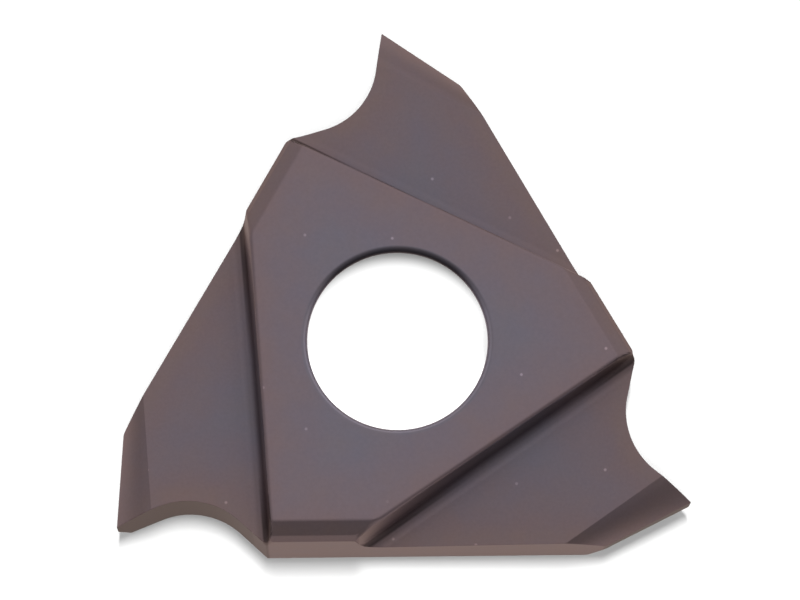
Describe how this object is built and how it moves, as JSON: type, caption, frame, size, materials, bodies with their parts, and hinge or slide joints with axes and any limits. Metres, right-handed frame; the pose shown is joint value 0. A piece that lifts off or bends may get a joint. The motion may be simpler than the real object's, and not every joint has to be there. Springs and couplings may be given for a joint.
{
  "type": "grooving insert",
  "caption": "Flat triangular grooving insert with thin hooked cutting corners, ground chip pockets, bevelled long sides and a central screw hole with a conical seat.",
  "frame": {"origin": "centre of the screw hole in the plane of the flat back face", "axes": "+Z along the hole from the back face to the land face with the ground pockets, +Y towards one cutting corner, +X towards the long side that ends at that corner's heel"},
  "size_m": [0.0138, 0.0128, 0.0032],
  "materials": {
    "coated_carbide": "satin"
  },
  "bodies": {
    "root": {"insert_body": "coated_carbide"}
  },
  "joints": []
}
